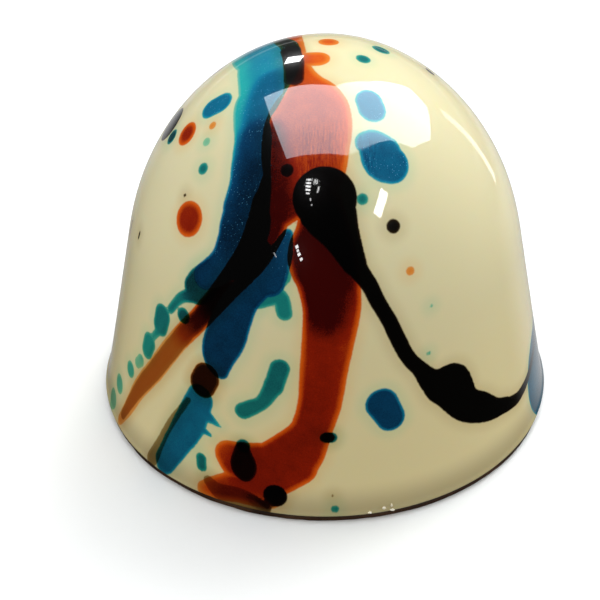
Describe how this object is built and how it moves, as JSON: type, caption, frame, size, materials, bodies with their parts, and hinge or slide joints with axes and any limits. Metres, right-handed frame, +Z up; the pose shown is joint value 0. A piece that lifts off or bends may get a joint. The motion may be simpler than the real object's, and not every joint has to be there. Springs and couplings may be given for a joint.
{
  "type": "moulded chocolate bonbon",
  "caption": "Domed moulded bonbon with a glossy ivory shell splashed and dripped with coloured cocoa butter, closed underneath by dark chocolate.",
  "frame": {"origin": "middle of the flat underside", "axes": "+Z up along the axis of the dome, and -Y towards the side that shows the crossing splashes"},
  "size_m": [0.028, 0.028, 0.0235],
  "materials": {
    "shell": "tempered ivory white chocolate with a mirror gloss from the mould, under flush splashes of blue, orange and black coloured cocoa butter",
    "base": "satin dark chocolate, scraped level"
  },
  "bodies": {
    "root": {"shell": "shell", "base": "base"}
  },
  "joints": []
}
